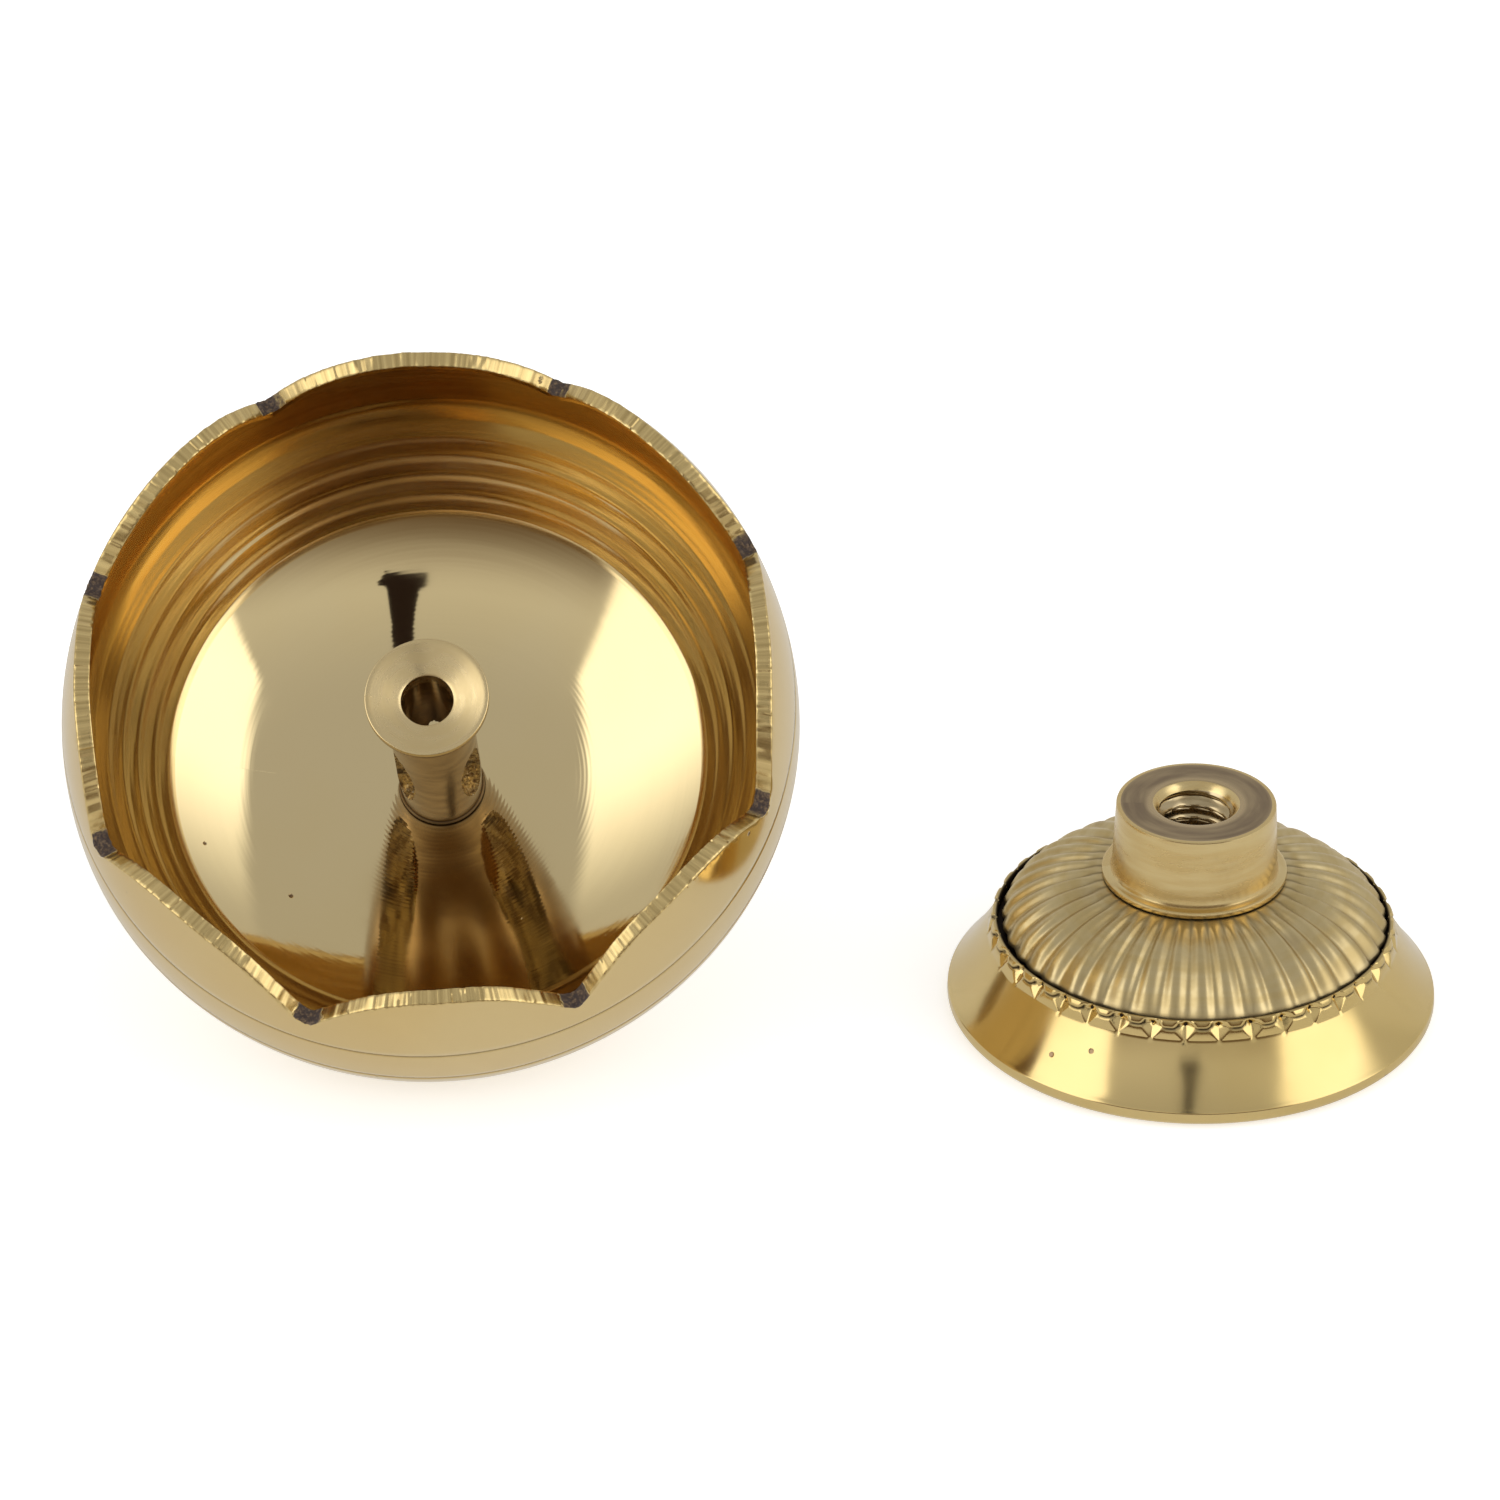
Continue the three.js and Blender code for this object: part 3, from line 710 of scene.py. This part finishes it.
def post_body():
    columns = 144
    angles = even(columns)
    end = -DEPTH - TAIL
    section = Section(columns)
    section.add([0, 1.2, 2.3, THREAD_MINOR - 0.35], end, ON_THREAD)
    height = np.arange(end + 0.06, -DEPTH - 0.9, PITCH / 12)
    limit = np.minimum(THREAD_MINOR - 0.3 + (height - end), THREAD_MAJOR)
    near_top = smoothstep(-DEPTH - 2.2, -DEPTH - 1.0, height)
    thread = thread_radius(angles, height[None, :], THREAD_MAJOR, THREAD_MINOR)
    thread = np.minimum(thread * (1 - near_top) + THREAD_MINOR * near_top, limit)
    section.add(thread, height, ON_THREAD)
    floor = WALL - DEPTH
    section.add([THREAD_MINOR, SHANK - 0.05, SHANK, SHANK],
                [-DEPTH - 0.7, -DEPTH - 0.5, -DEPTH - 0.3, floor + 0.22], ON_NECK)
    joint = floor + np.array([0.24, 0.28, 0.42, 0.6, 0.68])
    # Painted shade round the joint where the post stands on the floor, fading up the foot of the neck.
    section.add([4.3, 4.5, SHOULDER, 4.5, 4.32], joint, ON_NECK, [1, 1, 0.7, 0.4, 0.8])
    neck = np.linspace(floor + 0.75, HEAD_TOP - 2.45, 40)
    share = (neck - neck[0]) / (neck[-1] - neck[0])
    belly = NECK - 0.16 * (1 - smoothstep(0, 0.22, share)) - 0.05 * np.sin(share * math.pi)
    section.add(belly, neck, ON_NECK, 0.35 * (1 - smoothstep(0, 0.08, share)))
    under = HEAD_TOP - HEAD_EDGE
    cone = under - np.array([HEAD_UNDER + 0.02, HEAD_UNDER - 0.1, 0.3, 0.1, 0.03, -0.1])
    section.add([NECK + 0.03, NECK + 0.2, HEAD - 0.5, HEAD - 0.12, HEAD - 0.03, HEAD], cone, ON_NECK)
    section.add([HEAD, HEAD, HEAD - 0.03, HEAD - 0.1, HEAD - 0.2],
                HEAD_TOP - np.array([0.45, 0.13, 0.05, 0.01, 0.01]), ON_HEAD)
    dish_r = np.linspace(HEAD - 0.4, BORE + 0.12, 14)
    dish_z = HEAD_TOP - DISH * (HEAD - 0.25 - dish_r) / (HEAD - 0.25 - BORE)
    section.add(dish_r, dish_z, ON_HEAD)
    section.add([BORE + 0.03, BORE, BORE], HEAD_TOP - np.array([1.12, 1.25, 1.8]), ON_HEAD)
    bore = np.linspace(HEAD_TOP - 3, BORE_END + 0.4, 14)
    section.add(BORE, bore, ON_NECK)
    section.add([BORE - 0.1, 1.8, 0.9, 0], BORE_END - np.array([0, 0.6, 1.1, 1.3]), IN_PORT)
    finishes = [HEAD_BRASS, NECK_BRASS, PORT_BRASS, THREAD_BRASS]
    return section.build("wick_post_fine", angles, finishes, closed=False)


def port_cutter(turn):
    """An oval with a torn surface, which cuts one oil port."""
    bm = bmesh.new()
    bmesh.ops.create_icosphere(bm, subdivisions=5, radius=1)
    rng = np.random.RandomState(turn)
    for vertex in bm.verts:
        x, y, z = vertex.co
        torn = 1 + rng.normal(0, 0.012) + 0.02 * math.sin(19 * z + 4 * y) * math.sin(13 * y)
        vertex.co = Vector((x, y, z)) * Vector(PORT_HALVES) * torn * MM
    mesh = bpy.data.meshes.new("port")
    bm.to_mesh(mesh)
    bm.free()
    mesh.materials.append(PORT_BRASS)
    cutter = bpy.data.objects.new("port", mesh)
    bpy.context.scene.collection.objects.link(cutter)
    shift = Matrix.Translation(Vector(PORT_PLACE) * MM)
    cutter.matrix_world = Matrix.Rotation(math.radians(turn), 4, "Z") @ shift
    return cutter


def cut(piece, cutters):
    """Takes the cutters out of the piece and deletes them."""
    for cutter in cutters:
        modifier = piece.modifiers.new("cut", "BOOLEAN")
        modifier.operation = "DIFFERENCE"
        modifier.solver = "EXACT"
        modifier.material_mode = "TRANSFER"
        modifier.object = cutter
    bpy.context.view_layer.update()
    evaluated = piece.evaluated_get(bpy.context.evaluated_depsgraph_get())
    mesh = bpy.data.meshes.new_from_object(evaluated)
    piece.modifiers.clear()
    old, piece.data = piece.data, mesh
    bpy.data.meshes.remove(old)
    for cutter in cutters:
        bpy.data.objects.remove(cutter)
    mesh.shade_smooth()
    mesh.set_sharp_from_angle(angle=math.radians(38))
    return piece


def wick_post():
    return cut(post_body(), [port_cutter(turn) for turn in PORT_TURNS])


# ---- foot -------------------------------------------------------------------------------

ON_BOSS, ON_TOP, IN_BUSH = range(3)  # the boss's material slots


def foot_boss():
    columns = 144
    angles = even(columns)
    collar_top = FOOT_TOP - BOSS_SIDE
    collar_low = DOME_TOP + 0.1
    section = Section(columns)
    peen_top = DOME_TOP - SHEET - CLEARANCE
    section.add([4.2, 4.45, 4.9, SPIGOT], BOSS_END + np.array([0, 0, 0.45, 0.6]), ON_BOSS)
    section.add([SPIGOT, PEEN - 0.2, PEEN, PEEN, PEEN - 0.2, SPIGOT],
                peen_top - np.array([0.8, 0.5, 0.35, 0.05, 0, 0]), ON_BOSS)
    # Painted shade under the collar, where it sits over the dome.
    section.add([SPIGOT, SPIGOT, COLLAR - 0.4, COLLAR - 0.1],
                [peen_top + 0.1, collar_low, collar_low, collar_low + 0.03], ON_BOSS,
                [0, 1, 1, 0.9])
    section.add(9.54, collar_low + 0.07, ON_BOSS)
    section.add([9.58, COLLAR, 9.56, 9.45], collar_top - np.array([0.5, 0.3, 0.12, 0.03]), ON_BOSS)
    section.add([9.2, 8.9, 8.72, 8.63], collar_top + np.array([0.0, 0.02, 0.1, 0.3]), ON_BOSS)
    side = np.linspace(collar_top + 0.6, FOOT_TOP - 0.3, 14)
    taper = (BOSS_TOP - BOSS_BASE) * (side - collar_top) / BOSS_SIDE
    section.add(BOSS_BASE + taper, side, ON_BOSS)
    section.add([8.26, 8.22, 8.13, 8.0], FOOT_TOP - np.array([0.16, 0.06, 0.015, 0.0]), ON_BOSS)
    section.add(np.linspace(7.8, 4.75, 10), FOOT_TOP, ON_TOP)
    section.add([4.5, 4.4, 4.15, 4.0], FOOT_TOP - np.array([0.02, 0.08, 0.33, 0.5]), ON_BOSS)
    height = np.arange(FOOT_TOP - 0.7, BOSS_END + 0.1, -PITCH / 12)
    open_end = np.maximum(smoothstep(FOOT_TOP - 1.6, FOOT_TOP - 0.7, height) * 0.7,
                          1 - smoothstep(BOSS_END, BOSS_END + 1.0, height))
    major, minor = THREAD_MAJOR + BUSH_CLEARANCE, THREAD_MINOR + BUSH_CLEARANCE
    thread = thread_radius(angles, height[None, :], major, minor)
    section.add(thread + (major - thread) * open_end, height, IN_BUSH)
    return section.build("foot_boss_fine", angles, [BOSS_BRASS, TOP_BRASS, THREAD_BRASS])


FLUTES = 42
PER_FLUTE = 14
FLUTE_DEPTH = 0.42
DOME_INNER = 9.3  # radius where the dome starts to fall
DOME_OUTER = SEAM - 0.14
DOME_REST = LEDGE + CLEARANCE
DOME_EDGE = DOME_REST + 0.9
SEAM_OPEN = math.radians(185)  # side on which the seam round the dome is widest
SEAM_OPENING = 0.34
EDGE_THINNING = 0.27


def dome_line(t):
    """Radius and height along the top of the dome, for t from its crown (0) to its edge (1)."""
    spread = np.sin(t * DOME_ARC) / math.sin(DOME_ARC)
    fall = (1 - np.cos(t * DOME_ARC)) / (1 - math.cos(DOME_ARC))
    return DOME_INNER + (DOME_OUTER - DOME_INNER) * spread, DOME_TOP - (DOME_TOP - DOME_EDGE) * fall


def flute_valleys(t):
    """1 along the middle of each valley, and the depth factor of each column."""
    rng = np.random.RandomState(3)
    shift = rng.uniform(-0.10, 0.10, FLUTES)
    strength = rng.uniform(0.82, 1.12, FLUTES)
    column = np.arange(FLUTES * PER_FLUTE)
    flute, phase = column // PER_FLUTE, (column % PER_FLUTE) / PER_FLUTE
    blend = 0.5 - 0.5 * np.cos(TURN * phase)
    lean = phase[:, None] + (shift[flute] * blend)[:, None] - 0.10 * t[None, :] * blend[:, None]
    power = (strength[flute] * blend + (1 - blend) * 1.0)[:, None]
    return (0.5 + 0.5 * np.cos(TURN * lean)) ** 1.5, power


def foot_dome():
    columns = FLUTES * PER_FLUTE
    angles = even(columns)
    t = np.linspace(0, 1, 46)
    r, z = dome_line(t)
    turn = np.arctan2(np.gradient(r), -np.gradient(z))
    valley, power = flute_valleys(t)
    run = smoothstep(0.02, 0.22, t)[None, :] * (1 - 0.25 * smoothstep(0.85, 1, t))
    depth = FLUTE_DEPTH * power * valley * run
    facing = np.clip(np.cos(angles - SEAM_OPEN), 0, 1)[:, None]
    gap = SEAM_OPENING * facing**2 * smoothstep(0.8, 1, t)
    radius = r[None, :] - depth * np.cos(turn) - gap
    height = z[None, :] - depth * np.sin(turn)
    # Painted shade in the valleys near the crown and at the edge, and on the rows tucked under the
    # skirt's seam.
    painted_shadow = valley**3 * (1 - smoothstep(0.0, 0.35, t)) * 0.5 + smoothstep(0.95, 1.0, t) * 0.3
    section = Section(columns)
    section.add([5.25, 5.25, 7], DOME_TOP - np.array([SHEET, 0.02, 0]), 0)
    section.add(radius, height, 0, painted_shadow)
    low = radius[:, -1:] * np.ones(3) - np.array([0.02, 0.1, 0.25])
    section.add(low, DOME_REST + np.array([0.4, 0.12, 0.0]), 0, 1)
    section.add(LEDGE_RADIUS, DOME_REST, 0, 0.6)
    back = np.linspace(1, 0, 10)[1:]
    back_r, back_z = dome_line(back)
    sheet = SHEET - EDGE_THINNING * back
    section.add(back_r - sheet - 0.1 * back, back_z - sheet, 0)
    return section.build("foot_dome_fine", angles, [DOME_BRASS])


MARKS = 38
PER_MARK = 22
BRINK = (25.1, 2.1)
WAIST = (21.25, 8.0)
BEND = ((23.6, 3.9), (22.35, 5.95))
TONGUE = 0.31  # half width of the tongues, in shares of a mark
TONGUE_LOW = 9.2  # height of their lower edge
CUT_APEX = 7.75  # height of the chisel cuts' lowest point
# Outline from the standing ring, round the corner and up the lip to the flare.
SKIRT_EDGE = (
    (22.5, 0.02), (22.75, 0.0), (23.1, 0.0), (23.35, 0.01), (23.8, 0.04), (24.3, 0.11),
    (24.7, 0.24), (25.02, 0.46), (25.24, 0.7), (25.36, 0.92), (25.4, 1.15), (25.39, 1.35),
    (25.37, 1.5), (25.36, 1.72), (25.34, 1.82), (25.26, 1.93),
)
SKIRT_HOLLOW = ((0.4, 22.42), (1.9, 23.0), (3.5, 22.3), (5.7, 20.8), (6.9, 19.6))  # height, radius


def bell(value, width):
    return np.exp(-((value / width) ** 2))


def stake_marks(angles, height):
    """Outward shift and painted shadow of the staked edge: a row of tongues with chisel cuts between.
    """
    at = angles / TURN * MARKS
    mark = np.floor(at).astype(int) % MARKS
    rng = np.random.RandomState(8)
    lean, size, drop = (rng.uniform(-1, 1, MARKS)[mark][:, None] for _ in range(3))
    u = (at % 1 - 0.5)[:, None] - 0.02 * lean
    z = height[None, :] - 0.06 * drop
    reach = TONGUE + 0.02 * size
    across = 1 - smoothstep(reach - 0.07, reach + 0.02, np.abs(u))
    low_edge = TONGUE_LOW + 0.35 * (np.abs(u) / TONGUE) ** 3
    tongue = across * smoothstep(low_edge - 0.05, low_edge + 0.10, z)
    # Painted shadow under each tongue's lower edge and along its side.
    below = bell(z - low_edge + 0.02, 0.18) * (1 - smoothstep(0.26, 0.33, np.abs(u + 0.03)))
    beside = bell(u - reach + 0.01, 0.035) * smoothstep(9.1, 9.3, z) * (1 - smoothstep(9.6, 9.8, z))
    painted_shadow = below * smoothstep(-0.28, -0.05, u) + beside
    v = np.abs(((at + 0.5) % 1 - 0.5)[:, None] + 0.01 * lean)
    width = 0.30 * np.clip((z - CUT_APEX) / 1.35, 0, 1.15)
    cut = np.clip(width - v, 0, None) * 1.7 * (1 - 0.75 * smoothstep(9.3, 9.9, z))
    groove = 0.14 * bell(v, 0.07) * smoothstep(9.0, 9.4, z)
    return 0.19 * tongue - 0.10 * np.clip(painted_shadow, 0, 1) - cut - groove, np.clip(painted_shadow, 0, 0.95)


def foot_skirt():
    angles = even(MARKS * PER_MARK)
    section = Section(len(angles))
    section.add(*np.transpose(SKIRT_EDGE), 0)
    flare_r, flare_z = bezier((BRINK, *BEND, WAIST), np.linspace(0, 1, 26))
    top_z = np.linspace(8.1, 9.95, 20)
    top_r = WAIST[0] - 0.16 * (top_z - WAIST[1]) - 0.09 * (top_z - WAIST[1]) ** 2
    r, z = np.concatenate([flare_r, top_r]), np.concatenate([flare_z, top_z])
    shift, painted_shadow = stake_marks(angles, z)
    section.add(r[None, :] + shift, z, 0, painted_shadow)
    # Painted shade in the seam round the dome and on the ledge under it.
    section.add([20.55, 20.4, SEAM, SEAM, SEAM - 0.05], [10.0, 9.97, 9.8, 9.2, LEDGE], 0,
                [0.3, 0.9, 1, 1, 1])
    section.add([SEAM - 0.3, LEDGE_RADIUS, LEDGE_RADIUS - 0.1, LEDGE_RADIUS],
                LEDGE - np.array([0, 0, 0.6, 1.5]), 0, [1, 1, 0.4, 0])
    under = np.linspace(LEDGE - 1.8, 0.4, 16)
    section.add(np.interp(under, *np.transpose(SKIRT_HOLLOW)), under, 0)
    return section.build("foot_skirt_fine", angles, [SKIRT_BRASS])


def place(piece, matrix, body, node):
    settle(piece, matrix)
    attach(piece, body)
    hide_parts(node)


place(bowl_shell(), BOWL_AT, "bowl", "bowl_shell")
place(wick_post(), BOWL_AT, "post", "wick_post")
place(foot_skirt(), FOOT_AT, "foot", "foot_skirt")
place(foot_dome(), FOOT_AT, "foot", "foot_dome")
place(foot_boss(), FOOT_AT, "foot", "foot_boss")

# ---- table, studio and camera -----------------------------------------------------------


def flat_material(name, colour, roughness, glow=0.0):
    material = bpy.data.materials.new(name)
    material.use_nodes = True
    shader = material.node_tree.nodes["Principled BSDF"]
    shader.inputs["Base Color"].default_value = (*colour, 1)
    shader.inputs["Roughness"].default_value = roughness
    shader.inputs["Specular IOR Level"].default_value = 0
    shader.inputs["Emission Color"].default_value = (1, 1, 1, 1)
    shader.inputs["Emission Strength"].default_value = glow
    return material


def plane(name, size, height, material):
    mesh = bpy.data.meshes.new(name)
    corners = ((-size, -size), (size, -size), (size, size), (-size, size))
    mesh.from_pydata([(x, y, height) for x, y in corners], [], [(0, 1, 2, 3)])
    mesh.materials.append(material)
    made = bpy.data.objects.new(name, mesh)
    bpy.context.scene.collection.objects.link(made)
    return made


# The table is white to the camera, and a good deal greyer in the brass.
TABLE_HALF = 12
BELOW_TABLE = -0.0002
WHITE = flat_material("table_white", (0.93, 0.93, 0.93), 0.9, glow=0.55)
GREY = flat_material("table_grey", (0.50, 0.49, 0.47), 0.9, glow=0.12)
table = plane("table", TABLE_HALF, 0, WHITE)
table.visible_glossy = False
table.visible_shadow = False
mirrored = plane("table_in_mirrors", TABLE_HALF, BELOW_TABLE, GREY)
mirrored.visible_camera = False

AIM_SHIFT = (-0.00013, 0.04718)  # from the middle of the pair to where the camera looks
middle = (cad_box[0] + cad_box[1]) / 2
AIM = Vector((middle.x + AIM_SHIFT[0], middle.y + AIM_SHIFT[1], 0))
CAMERA_DISTANCE = 0.881
ELEVATION = math.radians(30)
towards_camera = Vector((0, -math.cos(ELEVATION), math.sin(ELEVATION)))

camera_data = bpy.data.cameras.new("camera")
camera_data.lens = 192
camera_data.sensor_width = 36
camera_data.clip_end = 50  # metres
camera = bpy.data.objects.new("camera", camera_data)
camera.location = AIM + towards_camera * CAMERA_DISTANCE
camera.rotation_euler = (math.pi / 2 - ELEVATION, 0, 0)
bpy.context.scene.collection.objects.link(camera)
bpy.context.scene.camera = camera

# Outline round the line of sight, in millimetres: a wide body with a tall stem above it.
CARD = (
    (-62, -52), (70, -58), (96, -20), (66, -8), (52, 90),
    (40, 300), (-12, 300), (-20, 80), (-34, 0), (-58, -20),
)


def photographer():
    """A dark card behind the camera, which only reflections see."""
    mesh = bpy.data.meshes.new("photographer")
    mesh.from_pydata([(x * MM, y * MM, 0) for x, y in CARD], [], [tuple(range(len(CARD)))])
    mesh.materials.append(flat_material("photographer_dark", (0.02, 0.013, 0.012), 0.8))
    card = bpy.data.objects.new("photographer", mesh)
    card.location = AIM + towards_camera * (CAMERA_DISTANCE + 0.03)
    card.rotation_euler = camera.rotation_euler
    card.visible_camera = card.visible_diffuse = card.visible_shadow = False
    bpy.context.scene.collection.objects.link(card)


photographer()

BOX_STARTS = (math.radians(43.5), math.radians(46.5))  # azimuths from the front
TENT = (1.0, 0.99, 0.965)
DARK_FRONT = (0.20, 0.13, 0.07)
HORIZON = 0.02  # least height of a direction, where the boxes are measured


def soft_boxes(sky, x, y, z):
    """Share and level of the boxes: their inner edges slant, and they fade to the back."""
    azimuth = sky.math("ARCTAN2", x, sky.times(y, -1))
    height = sky.math("MAXIMUM", z, HORIZON)
    deep = sky.math("DIVIDE", y, height)
    edge = sky.total(sky.math("DIVIDE", x, height), sky.times(deep, 0.28))
    inner = sky.times(sky.fade(azimuth, *BOX_STARTS), sky.fade(edge, 0.565, 0.645))
    return sky.times(inner, sky.fade(z, 0.12, 0.2)), sky.fade(deep, -0.35, 0.42, 1.85, 0.62)


def studio():
    """The sky: two wide soft boxes, left and right, with a greyer tent between and round."""
    world = bpy.data.worlds.new("studio")
    bpy.context.scene.world = world
    world.use_nodes = True
    sky = Nodes(world.node_tree)
    background = sky.tree.nodes["Background"]
    direction = sky.node("ShaderNodeTexCoord").outputs["Generated"]
    x, y, z = sky.node("ShaderNodeSeparateXYZ", {0: direction}).outputs
    across = sky.math("ABSOLUTE", x)
    box, box_level = soft_boxes(sky, across, y, z)
    # The tent is olive overhead, paler low down at the sides and back, brown low down in front.
    tent = sky.fade(z, 0.35, 0.8, 0.72, 0.53)
    azimuth = sky.math("ARCTAN2", across, sky.times(y, -1))
    in_front = sky.fade(azimuth, math.radians(40), math.radians(50), 1, 0)
    low_front = sky.times(sky.fade(z, 0.2, 0.5, 1, 0), in_front)
    sky.tree.links.new(sky.blend(low_front, TENT, DARK_FRONT), background.inputs["Color"])
    rest = sky.times(tent, sky.math("SUBTRACT", 1, box))
    level = sky.total(rest, sky.times(box, box_level))
    sky.tree.links.new(level, background.inputs["Strength"])


studio()

# The bowl's inside mirrors itself many times over.
bpy.context.scene.cycles.max_bounces = 24
bpy.context.scene.cycles.glossy_bounces = 24

view = bpy.context.scene.view_settings
view.view_transform = "Standard"
view.look = "None"
view.exposure = 0
view.gamma = 1
